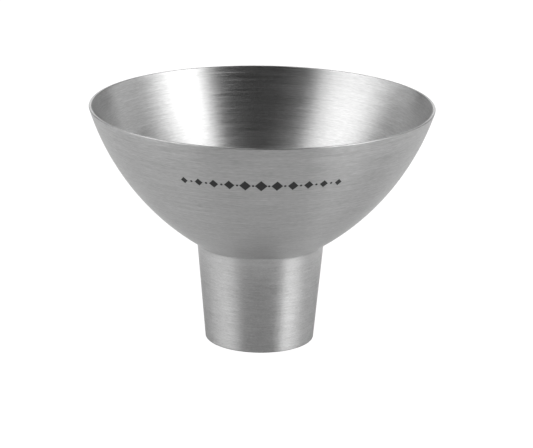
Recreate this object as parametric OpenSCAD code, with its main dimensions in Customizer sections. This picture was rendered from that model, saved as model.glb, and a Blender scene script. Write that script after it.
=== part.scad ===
// Stainless steel filling funnel: a deep drawn bowl with a turned-down collar, a tapered
// spout, and the butt weld that joins them.
// Millimetres, +Z up, origin at the centre of the spout's bottom edge.

/* [Bowl] */
// Outer diameter of the rim
rim_d = 80; // [74:1:96]
// Height from the neck corner up to the rim
bowl_h = 32.8; // [28:0.2:38]
// Radius of the bowl's curved wall, seen in section
bowl_r = 59.4; // [45:0.2:90]
// Radius of the concave bend where the bowl turns into its collar
bend_r = 1; // [0.8:0.1:3]
// Straight length of the collar below the bend
collar_l = 0.8; // [0.4:0.1:2]

/* [Spout] */
// Outer diameter where the lines of the bowl and the spout meet
neck_d = 29.8; // [26:0.1:34]
// Outer diameter of the spout at its bottom edge
tip_d = 25.6; // [22:0.1:26]
// Height of the spout, from its bottom edge to the neck corner
spout_h = 23.6; // [16:0.2:40]

/* [Weld] */
// Width of the weld seam along the wall
weld_w = 1.2; // [0.8:0.1:2]
// How far the weld's root stands proud inside the spout
root_h = 0.12; // [0.05:0.01:0.25]

/* [Sheet] */
// Thickness of the steel sheet
sheet_t = 0.6; // [0.5:0.1:1]
// Width of the broken edges at the rim and at the spout's bottom
edge_c = 0.12; // [0.05:0.01:0.2]

/* [Hidden] */
$fn = 240;
steel = [0.70, 0.70, 0.71];
weld_steel = [0.66, 0.66, 0.67];

// Overlap that makes the bend's circle cross the walls beside it, where it would only touch.
bite = 0.001;
// Reach of the cutting shapes past the surfaces they trim.
reach = 1;
// Share of the weld's width that its root takes up.
root_share = 0.75;

height = spout_h + bowl_h;
rim_point = [rim_d / 2, height - edge_c];
neck_corner = [neck_d / 2, spout_h];

// Centre of the arc that the bowl's outer wall follows from the neck corner to the rim.
chord = rim_point - neck_corner;
chord_normal = [-chord.y, chord.x] / norm(chord);
arc_centre = (rim_point + neck_corner) / 2
    + sqrt(pow(bowl_r, 2) - pow(norm(chord) / 2, 2)) * chord_normal;

// The spout's wall: down its slope, and square out of it.
taper = atan((neck_d - tip_d) / 2 / spout_h);
down_wall = [-sin(taper), -cos(taper)];
out_of_wall = [cos(taper), -sin(taper)];

// Centre of the bend, as far outside the bowl's arc as it is outside the spout's wall.
bend_gap = bend_r - bite;
beside_corner = neck_corner + bend_gap * out_of_wall;
to_corner = beside_corner - arc_centre;
corner_down = to_corner * down_wall;
bend_drop = -corner_down
    + sqrt(pow(corner_down, 2) - to_corner * to_corner + pow(bowl_r + bend_gap, 2));
bend_centre = beside_corner + bend_drop * down_wall;
bend_to_arc = (arc_centre - bend_centre) / norm(arc_centre - bend_centre);

// Top and bottom of the weld, on the outside of the wall.
weld_top = bend_centre - bend_gap * out_of_wall + collar_l * down_wall;
weld_bottom = weld_top + weld_w * down_wall;

// Distance from the axis, at height z, of the bowl's surface set depth into its wall.
function bowl_x(depth, z) = arc_centre.x + sqrt(pow(bowl_r - depth, 2) - pow(z - arc_centre.y, 2));

// Distance from the axis, at height z, of the spout's surface set depth into its wall.
function spout_x(depth, z) = tip_d / 2 + z * tan(taper) - depth / cos(taper);

// Half section of everything inside a surface set depth into the wall, from past the spout's
// bottom to past the rim.
module inside(depth) {
    bend_reach = 2 * (bend_r + depth);
    intersection() {
        translate(arc_centre) circle(bowl_r - depth);
        square([rim_d, height + reach]);
    }
    polygon([
        [0, -reach],
        [spout_x(depth, -reach), -reach],
        [spout_x(depth, height), height],
        [0, height]
    ]);
    difference() {
        polygon([
            bend_centre,
            bend_centre + bend_reach * bend_to_arc,
            bend_centre - bend_reach * out_of_wall
        ]);
        translate(bend_centre) circle(bend_r + depth);
    }
}

// Half section of the sheet itself.
module wall() {
    difference() {
        inside(0);
        inside(sheet_t);
    }
}

// Half section of the bowl and the air in it, with the rim's edges broken at 45 degrees.
module bowl_zone() {
    outer = rim_point.x;
    inner = bowl_x(sheet_t, rim_point.y);
    across = sheet_t + reach;
    polygon([
        weld_top - across * out_of_wall,
        [neck_corner.x - across, rim_point.y - reach],
        [inner - reach, rim_point.y - reach],
        [inner + edge_c, height],
        [outer - edge_c, height],
        [outer + reach, rim_point.y - reach],
        [outer + reach, weld_top.y],
        weld_top + across * out_of_wall
    ]);
}

// Half section of a band across the spout's wall, between two points on its outside.
module band_zone(top, bottom) {
    across = (sheet_t + reach) * out_of_wall;
    polygon([top - across, top + across, bottom + across, bottom - across]);
}

// Half section of the spout's end and the air beside it, with the edges broken at 45 degrees.
module tip_zone() {
    outer = spout_x(0, edge_c);
    inner = spout_x(sheet_t, edge_c);
    polygon([
        [inner + edge_c, 0],
        [outer - edge_c, 0],
        [outer + reach, edge_c + reach],
        [spout_x(0, spout_h) + reach, spout_h],
        [spout_x(sheet_t, spout_h) - reach, spout_h],
        [inner - reach, edge_c + reach]
    ]);
}

module bowl() {
    color(steel)
        rotate_extrude()
            intersection() {
                wall();
                bowl_zone();
            }
}

// The seam is ground flush outside. Its root is a shallow bead inside.
module neck_weld() {
    root_w = root_share * weld_w;
    root_r = (pow(root_w / 2, 2) + pow(root_h, 2)) / (2 * root_h);
    root_centre = (weld_top + weld_bottom) / 2 + (root_r - root_h - sheet_t) * out_of_wall;
    color(weld_steel)
        rotate_extrude()
            intersection() {
                difference() {
                    inside(0);
                    difference() {
                        inside(sheet_t);
                        translate(root_centre) circle(root_r);
                    }
                }
                band_zone(weld_top, weld_bottom);
            }
}

module spout() {
    color(steel)
        rotate_extrude()
            intersection() {
                wall();
                band_zone(weld_bottom, weld_bottom + 2 * spout_h * down_wall);
                tip_zone();
            }
}

bowl();
neck_weld();
spout();
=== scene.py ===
"""A small brushed steel filling funnel, standing on a plain pale floor in soft studio light.

The bowl, the spout and the weld between them are turned about the Z axis as clean quad meshes.
They keep the CAD model's section: a curved wall, a tight bend into a collar, and a tapered spout.
"""

import math

import bmesh
import bpy
from mathutils import Matrix, Vector


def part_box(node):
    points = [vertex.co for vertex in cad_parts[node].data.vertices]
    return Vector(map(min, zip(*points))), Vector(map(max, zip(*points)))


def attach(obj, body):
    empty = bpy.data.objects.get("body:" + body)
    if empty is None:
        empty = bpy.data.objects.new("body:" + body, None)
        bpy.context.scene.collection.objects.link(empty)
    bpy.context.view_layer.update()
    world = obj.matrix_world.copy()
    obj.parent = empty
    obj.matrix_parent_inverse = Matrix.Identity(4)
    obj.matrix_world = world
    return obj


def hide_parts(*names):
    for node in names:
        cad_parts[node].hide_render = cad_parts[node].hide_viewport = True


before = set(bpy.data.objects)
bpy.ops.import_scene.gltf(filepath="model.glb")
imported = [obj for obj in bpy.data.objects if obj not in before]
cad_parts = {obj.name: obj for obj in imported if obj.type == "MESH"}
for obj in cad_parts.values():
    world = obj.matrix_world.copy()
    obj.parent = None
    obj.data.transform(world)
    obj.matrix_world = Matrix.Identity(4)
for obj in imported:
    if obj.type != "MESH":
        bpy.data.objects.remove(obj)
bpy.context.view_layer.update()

MM = 0.001

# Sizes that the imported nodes' boxes don't give.
SHEET = 0.6 * MM
BOWL_ARC_R = 59.4 * MM
BEND_R = 1.0 * MM
NECK_CORNER = Vector((14.9, 23.6)) * MM
TIP_R = 12.8 * MM
RIM_CHAMFER = 0.12 * MM
EDGE_R = 0.15 * MM
WELD_ROOT_H = 0.12 * MM
WELD_ROOT_SHARE = 0.75
WELD_RIPPLES = 96
WELD_RIPPLE_SHARE = 0.18
WELD_RIPPLE_BOW = 2.4

# Mesh density.
AROUND = 256
WELD_AROUND = 6 * WELD_RIPPLES
WELD_BEAD_STEPS = 10
WALL_STEP = 0.8 * MM
FINE_STEP = 0.12 * MM
EDGE_STEP = 0.03 * MM
SAME_POINT = 1e-7
SHARP_ANGLE = math.radians(40)

# The camera, measured from the centre of the rim.
CAMERA_DISTANCE = 522.0 * MM
CAMERA_ELEVATION = math.radians(13.92)
CAMERA_AIM = Vector((1.36, 0.0, 27.5)) * MM
CAMERA_ROLL = math.radians(0.78)
CAMERA_LENS_MM = 152.4
CAMERA_SENSOR_MM = 36.0

# The printed ornament round the front of the bowl: lozenges in a row, with dots between them.
MARK_HEIGHT = 47.1 * MM
MARK_PITCH = 3.5 * MM
MARK_LOZENGES_A_SIDE = 5
MARK_HALF_HEIGHT = 1.5 * MM
MARK_SHRINK = 0.6
MARK_LOZENGE_SHARE = 0.4
MARK_DOT_R = 0.28 * MM
MARK_SOFTNESS = 0.05 * MM
INK = (0.008, 0.008, 0.0085, 1.0)

# The steel's shades, as the grey that it reflects. The spout's bottom edge is darkened, partly as a
# duller cut edge and partly as painted shade where it meets the floor. A band just below the bend is
# brightened with a painted highlight.
STEEL_SHADE = 0.49
SPOUT_STEEL_SHADE = 1.08 * STEEL_SHADE
WELD_STEEL_SHADE = 1.06 * STEEL_SHADE
STREAK_SHADES = (0.79, 1.21)
CUT_EDGE_PAINTED_SHADE = 0.55
CUT_EDGE_PAINTED_SHADE_TOP = 0.35 * MM
JOINT_PAINTED_HIGHLIGHT = 0.7
JOINT_PAINTED_HIGHLIGHT_SHARE = 0.32
JOINT_PAINTED_HIGHLIGHT_BEGINS = (20.3 * MM, 22.5 * MM)
JOINT_PAINTED_HIGHLIGHT_ENDS = (23.2 * MM, 23.5 * MM)

# The steel's streaks: length, width, detail of the noise, and where it lies in the noise's space.
FINE_STREAKS = (1.6 * MM, 0.15 * MM, 2.0, 0.0)
MEDIUM_STREAKS = (9 * MM, 0.32 * MM, 3.0, 7.3)
BROAD_STREAKS = (50 * MM, 1.6 * MM, 3.0, 15.1)
SCRATCHES = (30 * MM, 0.2 * MM, 4.0, 22.9)
STREAK_ROUGHNESS = 0.6
SPOUT_STREAKS_PLACE = 31.0
FINE_SHARE = 0.45
MEDIUM_SHARE = 0.4
BROAD_SHARE = 0.15
FINE_RELIEF_SHARE = 0.5
SHADE_LIMITS = (0.34, 0.66)
FINISH_LIMITS = (0.36, 0.64)
SCRATCH_LIMITS = (0.47, 0.68)

# The steel's finish: the roughness, then the anisotropy, each from its smoothest streaks to its
# coarsest. A quarter turn sets the highlight along the section, square to the brushing.
BOWL_FINISH = (0.31, 0.41, 1.0, 0.9)
SPOUT_FINISH = (0.43, 0.48, 0.98, 0.92)
FINISH_CHANGE = (13 * MM, 25 * MM)
SCRATCH_ROUGHNESS = 0.06
SCRATCH_ANISOTROPY = -0.24
BRUSH_DEPTH = 0.004 * MM
QUARTER_TURN = 0.25

# The studio, in degrees round the object from the camera's side, positive to the right. A light's
# strengths are those at the horizon, at MIDDLE_ELEVATION, and at HIGH_ELEVATION and above.
MIDDLE_ELEVATION = math.radians(30)
HIGH_ELEVATION = math.radians(60)
RIGHT_SOFTBOX = (34, 56, 56, 111)
RIGHT_STRENGTHS = (2.3, 6.0, 0.2)
LEFT_SOFTBOX = (-116, -82, -66, -42)
LEFT_STRENGTHS = (1.3, 3.4, 1.15)
LEFT_FILL = (-64, -50, -45, -38)
LEFT_FILL_STRENGTHS = (0.3, 1.7, 0.3)
SIDE_WALLS = (88, 106, 120, 142)
SIDE_WALL_STRENGTHS = (1.15, 0.55, 2.3)
BACKDROP = (135, 160, 180, 181)
BACKDROP_STRENGTHS = (0.75, 0.1, 0.0)
BACKDROP_MIDDLE = (160, 172, 180, 181)
BACKDROP_MIDDLE_STRENGTHS = (0.9, 0.4, 0.0)
ALL_ROUND = (-2, -1, 181, 182)
ALL_ROUND_STRENGTHS = (0.05, 0.02, 0.05)
FLOOR_SIZE = 6.0
FLOOR_ALBEDO = 0.7
FLOOR_GLOW = 1.15
FLOOR_GLOW_SEEN = 0.85
FLOOR_GLOW_REFLECTED = (0.04, 0.31)
FLOOR_GLOW_RISES = (-45 * MM, 50 * MM)

rim_low, rim_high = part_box("bowl")
weld_low, weld_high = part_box("neck_weld")
rim_point = Vector((rim_high.x, rim_high.z - RIM_CHAMFER))


def polar(centre, radius, angle):
    """A point in section, at a distance and an angle from a centre."""
    return centre + radius * Vector((math.cos(angle), math.sin(angle)))


def angle_of(vector):
    return math.atan2(vector.y, vector.x)


def find_arc_centre():
    """Centre of the arc that the bowl's outer wall follows, inside the bowl and above its rim."""
    chord = rim_point - NECK_CORNER
    inward = Vector((-chord.y, chord.x)).normalized()
    return (rim_point + NECK_CORNER) / 2 + math.sqrt(BOWL_ARC_R**2 - chord.length_squared / 4) * inward


def find_bend_centre():
    """Centre of the bend, BEND_R outside both the bowl's arc and the spout's wall."""
    start = NECK_CORNER + BEND_R * out_of_wall
    offset = start - arc_centre
    down = offset.dot(down_wall)
    reach = BOWL_ARC_R + BEND_R
    return start + (math.sqrt(down**2 - offset.length_squared + reach**2) - down) * down_wall


taper = math.atan2(NECK_CORNER.x - TIP_R, NECK_CORNER.y)
down_wall = Vector((-math.sin(taper), -math.cos(taper)))
out_of_wall = Vector((math.cos(taper), -math.sin(taper)))
arc_centre = find_arc_centre()
bend_centre = find_bend_centre()


def arc(centre, radius, start, end, step):
    """Points along an arc in section, both ends included."""
    count = max(2, round(abs(end - start) * radius / step))
    return [polar(centre, radius, start + (end - start) * i / count) for i in range(count + 1)]


def line(start, end, step):
    """Points along a straight stretch in section, both ends included."""
    count = max(1, round((end - start).length / step))
    return [start.lerp(end, i / count) for i in range(count + 1)]


def on_spout(height, depth=0.0):
    """The point of the spout's wall at a height on its outside, set depth into the sheet."""
    outside = Vector((TIP_R + height * math.tan(taper), height))
    return outside - depth * out_of_wall


def on_bowl(height, radius):
    """The point at a height on a circle about the bowl's arc centre."""
    rise = height - arc_centre.y
    return Vector((arc_centre.x + math.sqrt(radius**2 - rise**2), height))


def without_repeats(points):
    """A closed outline's points, each place only once."""
    kept = [points[0]]
    for point in points[1:]:
        if (point - kept[-1]).length > SAME_POINT:
            kept.append(point)
    if (kept[0] - kept[-1]).length < SAME_POINT:
        kept.pop()
    return kept


def wall_side(depth, rim_angle):
    """One face of the bowl's sheet, from the weld up to the rim."""
    weld_top = on_spout(rim_low.z, depth)
    bend_r = BEND_R + depth
    bend_end = angle_of(arc_centre - bend_centre)
    bend_start = angle_of(-out_of_wall) % math.tau
    return without_repeats(
        line(weld_top, polar(bend_centre, bend_r, bend_start), FINE_STEP * 2)
        + arc(bend_centre, bend_r, bend_start, bend_end, FINE_STEP)
        + arc(arc_centre, BOWL_ARC_R - depth, angle_of(bend_centre - arc_centre), rim_angle, WALL_STEP)
    )


def bowl_outline():
    """The bowl's closed section: outside, rounded lip, inside, and the cut where the weld starts."""
    edge_z = rim_high.z - EDGE_R
    outer_edge = on_bowl(edge_z, BOWL_ARC_R - EDGE_R)
    inner_edge = on_bowl(edge_z, BOWL_ARC_R - SHEET + EDGE_R)
    outer_angle = angle_of(outer_edge - arc_centre)
    inner_angle = angle_of(inner_edge - arc_centre)
    return without_repeats(
        wall_side(0.0, outer_angle)
        + arc(outer_edge, EDGE_R, outer_angle, math.pi / 2, EDGE_STEP)
        + arc(inner_edge, EDGE_R, math.pi / 2, math.pi + inner_angle, EDGE_STEP)
        + wall_side(SHEET, inner_angle)[::-1]
    )


def spout_outline():
    """The spout's closed section: outside, rounded bottom edge, inside, and the weld's cut."""
    top_outside = on_spout(weld_low.z)
    outer_edge = on_spout(0.0, EDGE_R)
    outer_edge += down_wall * ((outer_edge.y - EDGE_R) / math.cos(taper))
    inner_edge = on_spout(0.0, SHEET - EDGE_R)
    inner_edge += down_wall * ((inner_edge.y - EDGE_R) / math.cos(taper))
    outside = line(top_outside, outer_edge + EDGE_R * out_of_wall, WALL_STEP)
    inside = line(inner_edge - EDGE_R * out_of_wall, top_outside - SHEET * out_of_wall, WALL_STEP)
    return without_repeats(
        outside
        + arc(outer_edge, EDGE_R, -taper, -math.pi / 2, EDGE_STEP)
        + arc(inner_edge, EDGE_R, -math.pi / 2, -math.pi - taper, EDGE_STEP)
        + inside
    )


def weld_outline(angle):
    """The weld's closed section at an angle round it: flush outside, a rippled bead inside."""
    top = on_spout(rim_low.z)
    bottom = on_spout(weld_low.z)
    width = (top - bottom).length
    outline = line(top, bottom, FINE_STEP * 2) + line(bottom, bottom - SHEET * out_of_wall, SHEET)
    for i in range(WELD_BEAD_STEPS + 1):
        across = -1 + 2 * i / WELD_BEAD_STEPS
        bead = max(0.0, 1 - (across / WELD_ROOT_SHARE) ** 2)
        crescent = WELD_RIPPLES * angle + WELD_RIPPLE_BOW * across**2
        ripple = 1 - WELD_RIPPLE_SHARE + WELD_RIPPLE_SHARE * math.cos(crescent)
        height = WELD_ROOT_H * bead * ripple
        middle = (top + bottom) / 2 - down_wall * across * width / 2
        outline.append(middle - (SHEET + height) * out_of_wall)
    outline += line(top - SHEET * out_of_wall, top, SHEET)
    return without_repeats(outline)


def turn(name, outline_at, around):
    """Turns a closed section about the Z axis into a mesh object of quads."""
    shape = bmesh.new()
    rings = []
    for i in range(around):
        angle = math.tau * i / around
        across, along = math.cos(angle), math.sin(angle)
        rings.append([shape.verts.new((p.x * across, p.x * along, p.y)) for p in outline_at(angle)])
    for ring, following in zip(rings, rings[1:] + rings[:1]):
        for j in range(len(ring)):
            k = (j + 1) % len(ring)
            shape.faces.new((ring[j], following[j], following[k], ring[k]))
    bmesh.ops.recalc_face_normals(shape, faces=shape.faces)
    mesh = bpy.data.meshes.new(name)
    shape.to_mesh(mesh)
    shape.free()
    mesh.shade_smooth()
    mesh.set_sharp_from_angle(angle=SHARP_ANGLE)
    piece = bpy.data.objects.new(name, mesh)
    bpy.context.scene.collection.objects.link(piece)
    return piece


class Nodes:
    """Short calls for building a node tree. An input takes a number, a tuple or another socket."""

    def __init__(self, tree):
        self.tree = tree
        tree.nodes.clear()

    def add(self, kind, inputs=None, **settings):
        node = self.tree.nodes.new(kind)
        for key, value in settings.items():
            setattr(node, key, value)
        for key, value in (inputs or {}).items():
            self.put(node.inputs[key], value)
        return node

    def put(self, socket, value):
        if isinstance(value, bpy.types.NodeSocket):
            self.tree.links.new(value, socket)
        else:
            socket.default_value = value

    def math(self, operation, *values, clamp=False):
        node = self.add("ShaderNodeMath", operation=operation, use_clamp=clamp)
        for socket, value in zip(node.inputs, values):
            self.put(socket, value)
        return node.outputs[0]

    def length(self, x, y):
        return self.math("SQRT", self.math("MULTIPLY_ADD", x, x, self.math("MULTIPLY", y, y)))

    def vector(self, x, y, z):
        return self.add("ShaderNodeCombineXYZ", {"X": x, "Y": y, "Z": z}).outputs[0]

    def remap(self, value, low, high, to_low=0.0, to_high=1.0, smooth=False):
        kind = "SMOOTHSTEP" if smooth else "LINEAR"
        inputs = {"Value": value, "From Min": low, "From Max": high, "To Min": to_low, "To Max": to_high}
        return self.add("ShaderNodeMapRange", inputs, interpolation_type=kind).outputs[0]

    def noise(self, vector, scale=1.0, detail=2.0, roughness=0.5):
        inputs = {"Vector": vector, "Scale": scale, "Detail": detail, "Roughness": roughness}
        return self.add("ShaderNodeTexNoise", inputs).outputs["Fac"]

    def mix(self, factor, first, second):
        node = self.add("ShaderNodeMix", {"Factor": factor}, data_type="FLOAT")
        self.put(node.inputs[2], first)
        self.put(node.inputs[3], second)
        return node.outputs[0]

    def mix_colour(self, factor, first, second):
        node = self.add("ShaderNodeMix", {"Factor": factor}, data_type="RGBA")
        self.put(node.inputs[6], first)
        self.put(node.inputs[7], second)
        return node.outputs[2]


def grey(value):
    return (value, value, value, 1.0)


def object_place(nodes):
    """Sockets, called X, Y and Z, for a point's place on the object."""
    where = nodes.add("ShaderNodeTexCoord").outputs["Object"]
    return nodes.add("ShaderNodeSeparateXYZ", {"Vector": where}).outputs


def bowl_section_place(nodes, place):
    """Sockets for a point's distance along the bowl's curved wall, and from the wall's arc centre."""
    rise = nodes.math("SUBTRACT", place["Z"], arc_centre.y)
    run = nodes.math("SUBTRACT", nodes.length(place["X"], place["Y"]), arc_centre.x)
    along = nodes.math("MULTIPLY", nodes.math("ARCTAN2", rise, run), BOWL_ARC_R)
    return along, nodes.length(rise, run)


def streaks(nodes, place, along, kind, seed):
    """Noise drawn out round the axis. Two pieces with different seeds get different streaks."""
    length, width, detail, kind_seed = kind
    radius = nodes.length(place["X"], place["Y"])
    turns = rim_high.x / length
    shift = seed + kind_seed
    return nodes.noise(
        nodes.vector(
            nodes.math("MULTIPLY_ADD", nodes.math("DIVIDE", place["X"], radius), turns, shift),
            nodes.math("MULTIPLY_ADD", nodes.math("DIVIDE", place["Y"], radius), turns, shift),
            nodes.math("DIVIDE", along, width),
        ),
        detail=detail,
        roughness=STREAK_ROUGHNESS,
    )


def ornament(nodes, place):
    """How much ink lies at a point: 1 inside a lozenge or a dot on the bowl's outside, 0 elsewhere."""
    along, from_centre = bowl_section_place(nodes, place)
    front = on_bowl(MARK_HEIGHT, BOWL_ARC_R)
    front_along = angle_of(front - arc_centre) * BOWL_ARC_R
    up = nodes.math("ABSOLUTE", nodes.math("SUBTRACT", along, front_along))
    azimuth = nodes.math("ARCTAN2", place["X"], nodes.math("MULTIPLY", place["Y"], -1.0))
    across = nodes.math("ABSOLUTE", nodes.math("MULTIPLY", azimuth, front.x))
    nearest = nodes.math("ROUND", nodes.math("DIVIDE", across, MARK_PITCH))
    beside = nodes.math("ABSOLUTE", nodes.math("MULTIPLY_ADD", nearest, -MARK_PITCH, across))

    shrink = nodes.remap(nearest, 0, MARK_LOZENGES_A_SIDE, 1.0, MARK_SHRINK)
    half_height = nodes.math("MULTIPLY", shrink, MARK_HALF_HEIGHT)
    half_width = nodes.math("MULTIPLY", shrink, MARK_LOZENGE_SHARE * MARK_PITCH)
    share_up = nodes.math("DIVIDE", up, half_height)
    share_beside = nodes.math("DIVIDE", beside, half_width)
    reach = nodes.math("ADD", share_up, share_beside)
    softness = MARK_SOFTNESS / MARK_HALF_HEIGHT
    lozenge = nodes.remap(reach, 1 - softness, 1 + softness, 1.0, 0.0, smooth=True)
    in_row = nodes.math("LESS_THAN", nearest, MARK_LOZENGES_A_SIDE + 0.5)
    lozenge = nodes.math("MULTIPLY", lozenge, in_row)

    to_dot = nodes.length(nodes.math("SUBTRACT", beside, MARK_PITCH / 2), up)
    dot_edges = (MARK_DOT_R - MARK_SOFTNESS, MARK_DOT_R + MARK_SOFTNESS)
    dot = nodes.remap(to_dot, *dot_edges, 1.0, 0.0, smooth=True)
    between_lozenges = nodes.math("LESS_THAN", across, MARK_LOZENGES_A_SIDE * MARK_PITCH)
    dot = nodes.math("MULTIPLY", dot, between_lozenges)

    outside = nodes.math("GREATER_THAN", from_centre, BOWL_ARC_R - SHEET / 2)
    return nodes.math("MULTIPLY", nodes.math("MAXIMUM", lozenge, dot), outside)


def finish_sockets(nodes, finish, coarse):
    """Sockets for a finish's roughness and anisotropy, as its streaks go from smooth to coarse."""
    smooth_roughness, coarse_roughness, smooth_anisotropy, coarse_anisotropy = finish
    roughness = nodes.remap(coarse, *FINISH_LIMITS, smooth_roughness, coarse_roughness)
    anisotropy = nodes.remap(coarse, *FINISH_LIMITS, smooth_anisotropy, coarse_anisotropy)
    return roughness, anisotropy


def steel_colour(nodes, height, fine, medium, broad, shade):
    """The steel's colour: streaked, with painted shade on the spout's cut edge and a painted highlight
    below the bend.
    """
    mixed = nodes.math("MULTIPLY_ADD", medium, MEDIUM_SHARE, nodes.math("MULTIPLY", fine, FINE_SHARE))
    mixed = nodes.math("MULTIPLY_ADD", broad, BROAD_SHARE, mixed)
    dark, light = (grey(shade * share) for share in STREAK_SHADES)
    colour = nodes.mix_colour(nodes.remap(mixed, *SHADE_LIMITS), dark, light)
    # Painted shade along the spout's bottom edge, where it meets the floor; the cut edge is also duller.
    cut_edge_painted_shade = nodes.remap(height, 0.0, CUT_EDGE_PAINTED_SHADE_TOP, 1.0, 0.0)
    colour = nodes.mix_colour(cut_edge_painted_shade, colour, grey(CUT_EDGE_PAINTED_SHADE * shade))
    # Painted highlight: a brighter band of the steel's colour just below the bend, where the bend
    # catches the light.
    highlight_below_bend = nodes.remap(height, *JOINT_PAINTED_HIGHLIGHT_ENDS, JOINT_PAINTED_HIGHLIGHT_SHARE, 0.0)
    joint_painted_highlight = nodes.math("MULTIPLY", nodes.remap(height, *JOINT_PAINTED_HIGHLIGHT_BEGINS, smooth=True), highlight_below_bend)
    return nodes.mix_colour(joint_painted_highlight, colour, grey(JOINT_PAINTED_HIGHLIGHT))


def steel_finish(nodes, height, medium, broad, scratched):
    """Sockets for the steel's roughness and anisotropy, which change gradually at the neck."""
    coarse = nodes.math("MULTIPLY_ADD", broad, 0.5, nodes.math("MULTIPLY", medium, 0.5))
    spout_roughness, spout_anisotropy = finish_sockets(nodes, SPOUT_FINISH, coarse)
    bowl_roughness, bowl_anisotropy = finish_sockets(nodes, BOWL_FINISH, coarse)
    above = nodes.remap(height, *FINISH_CHANGE, smooth=True)
    roughness = nodes.mix(above, spout_roughness, bowl_roughness)
    anisotropy = nodes.mix(above, spout_anisotropy, bowl_anisotropy)
    roughness = nodes.math("MULTIPLY_ADD", scratched, SCRATCH_ROUGHNESS, roughness)
    anisotropy = nodes.math("MULTIPLY_ADD", scratched, SCRATCH_ANISOTROPY, anisotropy)
    return roughness, anisotropy


def brushed_steel(name, bowl=False, shade=STEEL_SHADE, seed=0.0):
    """Satin stainless steel, brushed round the axis. The bowl's also carries the ornament."""
    material = bpy.data.materials.new(name)
    material.use_nodes = True
    nodes = Nodes(material.node_tree)
    place = object_place(nodes)
    height = place["Z"]
    along = bowl_section_place(nodes, place)[0] if bowl else height
    fine = streaks(nodes, place, along, FINE_STREAKS, seed)
    medium = streaks(nodes, place, along, MEDIUM_STREAKS, seed)
    broad = streaks(nodes, place, along, BROAD_STREAKS, seed)
    scratched = nodes.remap(streaks(nodes, place, along, SCRATCHES, seed), *SCRATCH_LIMITS)

    colour = steel_colour(nodes, height, fine, medium, broad, shade)
    roughness, anisotropy = steel_finish(nodes, height, medium, broad, scratched)
    metallic = 1.0
    if bowl:
        ink = ornament(nodes, place)
        colour = nodes.mix_colour(ink, colour, INK)
        metallic = nodes.math("SUBTRACT", 1.0, ink)

    relief = nodes.math("MULTIPLY_ADD", fine, FINE_RELIEF_SHARE, medium)
    bump = nodes.add("ShaderNodeBump", {"Height": relief, "Strength": 1.0, "Distance": BRUSH_DEPTH})
    tangent = nodes.add("ShaderNodeTangent", direction_type="RADIAL", axis="Z")
    shader = nodes.add(
        "ShaderNodeBsdfPrincipled",
        {
            "Base Color": colour,
            "Metallic": metallic,
            "Roughness": roughness,
            "Anisotropic": anisotropy,
            "Anisotropic Rotation": QUARTER_TURN,
            "Tangent": tangent.outputs[0],
            "Normal": bump.outputs[0],
        },
    )
    nodes.add("ShaderNodeOutputMaterial", {"Surface": shader.outputs[0]})
    return material


def add_pieces():
    """The three pieces, each in the place of its CAD node."""
    bowl_section, spout_section = bowl_outline(), spout_outline()
    made = {
        "bowl": turn("bowl_sheet", lambda angle: bowl_section, AROUND),
        "spout": turn("spout_sheet", lambda angle: spout_section, AROUND),
        "neck_weld": turn("weld_bead", weld_outline, WELD_AROUND),
    }
    steels = {
        "bowl": brushed_steel("bowl_steel", bowl=True),
        "spout": brushed_steel("spout_steel", shade=SPOUT_STEEL_SHADE, seed=SPOUT_STREAKS_PLACE),
        "neck_weld": brushed_steel("weld_steel", shade=WELD_STEEL_SHADE, seed=SPOUT_STREAKS_PLACE),
    }
    for node, piece in made.items():
        piece.data.materials.append(steels[node])
        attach(piece, "root")
        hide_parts(node)


def add_floor():
    """A plain pale floor. It is seen from above only, so that the part can be looked at from below."""
    bpy.ops.mesh.primitive_plane_add(size=FLOOR_SIZE)
    floor = bpy.context.object
    floor.name = "floor"
    material = bpy.data.materials.new("floor")
    material.use_nodes = True
    nodes = Nodes(material.node_tree)
    camera_ray = nodes.add("ShaderNodeLightPath").outputs["Is Camera Ray"]
    matt = nodes.add("ShaderNodeBsdfDiffuse", {"Color": grey(FLOOR_ALBEDO)})
    glow = nodes.add("ShaderNodeEmission", {"Strength": FLOOR_GLOW})
    behind = object_place(nodes)["Y"]
    reflected = nodes.remap(behind, *FLOOR_GLOW_RISES, *FLOOR_GLOW_REFLECTED, smooth=True)
    lit = nodes.add("ShaderNodeMixShader", {"Fac": nodes.mix(camera_ray, reflected, FLOOR_GLOW_SEEN)})
    nodes.put(lit.inputs[1], matt.outputs[0])
    nodes.put(lit.inputs[2], glow.outputs[0])
    clear = nodes.add("ShaderNodeBsdfTransparent")
    below = nodes.add("ShaderNodeNewGeometry").outputs["Backfacing"]
    surface = nodes.add("ShaderNodeMixShader", {"Fac": below})
    nodes.put(surface.inputs[1], lit.outputs[0])
    nodes.put(surface.inputs[2], clear.outputs[0])
    nodes.add("ShaderNodeOutputMaterial", {"Surface": surface.outputs[0]})
    floor.data.materials.append(material)


def ramp(nodes, angle, edges):
    """1 between the two middle edges, 0 outside the outer two, smooth between. Edges are in degrees."""
    rise_from, rise_to, fall_from, fall_to = (math.radians(edge) for edge in edges)
    rise = nodes.remap(angle, rise_from, rise_to, smooth=True)
    fall = nodes.remap(angle, fall_from, fall_to, 1.0, 0.0, smooth=True)
    return nodes.math("MULTIPLY", rise, fall)


def softbox(nodes, azimuth, elevation, across, strengths):
    """A soft-edged bright patch of the surroundings."""
    low, middle, high = strengths
    upwards = nodes.remap(elevation, 0.0, MIDDLE_ELEVATION, low, middle)
    change = nodes.remap(elevation, MIDDLE_ELEVATION, HIGH_ELEVATION, 0.0, high - middle)
    return nodes.math("MULTIPLY", ramp(nodes, azimuth, across), nodes.math("ADD", upwards, change))


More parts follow.
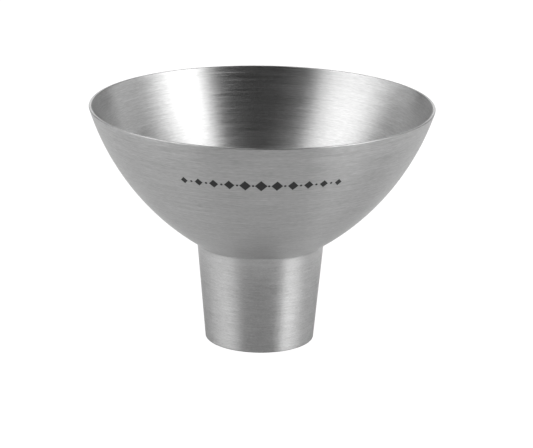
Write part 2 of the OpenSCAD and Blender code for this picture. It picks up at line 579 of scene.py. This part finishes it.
def add_surroundings():
    """Soft studio light: a softbox on each side, dim round the camera, and a pale backdrop."""
    world = bpy.data.worlds.new("studio")
    bpy.context.scene.world = world
    world.use_nodes = True
    nodes = Nodes(world.node_tree)
    direction = nodes.add("ShaderNodeTexCoord").outputs["Generated"]
    x, y, z = nodes.add("ShaderNodeSeparateXYZ", {"Vector": direction}).outputs
    azimuth = nodes.math("ARCTAN2", x, nodes.math("MULTIPLY", y, -1.0))
    elevation = nodes.math("ARCSINE", z)
    aside = nodes.math("ABSOLUTE", azimuth)
    light = 0.0
    for angle, across, strengths in (
        (azimuth, RIGHT_SOFTBOX, RIGHT_STRENGTHS),
        (azimuth, LEFT_SOFTBOX, LEFT_STRENGTHS),
        (azimuth, LEFT_FILL, LEFT_FILL_STRENGTHS),
        (aside, SIDE_WALLS, SIDE_WALL_STRENGTHS),
        (aside, BACKDROP, BACKDROP_STRENGTHS),
        (aside, BACKDROP_MIDDLE, BACKDROP_MIDDLE_STRENGTHS),
        (aside, ALL_ROUND, ALL_ROUND_STRENGTHS),
    ):
        light = nodes.math("ADD", softbox(nodes, angle, elevation, across, strengths), light)
    camera_ray = nodes.add("ShaderNodeLightPath").outputs["Is Camera Ray"]
    strength = nodes.mix(camera_ray, light, 1.0)
    background = nodes.add("ShaderNodeBackground", {"Color": grey(1.0), "Strength": strength})
    nodes.add("ShaderNodeOutputWorld", {"Surface": background.outputs[0]})


def add_camera():
    data = bpy.data.cameras.new("camera")
    data.lens = CAMERA_LENS_MM
    data.sensor_width = CAMERA_SENSOR_MM
    camera = bpy.data.objects.new("camera", data)
    bpy.context.scene.collection.objects.link(camera)
    back = Vector((0.0, -math.cos(CAMERA_ELEVATION), math.sin(CAMERA_ELEVATION)))
    camera.location = Vector((0.0, 0.0, rim_high.z)) + CAMERA_DISTANCE * back
    level = (CAMERA_AIM - camera.location).to_track_quat("-Z", "Y").to_matrix()
    turned = level @ Matrix.Rotation(CAMERA_ROLL, 3, "Z")
    camera.rotation_euler = turned.to_euler()
    bpy.context.scene.camera = camera


add_pieces()
add_floor()
add_surroundings()
add_camera()
bpy.context.scene.view_settings.view_transform = "Standard"
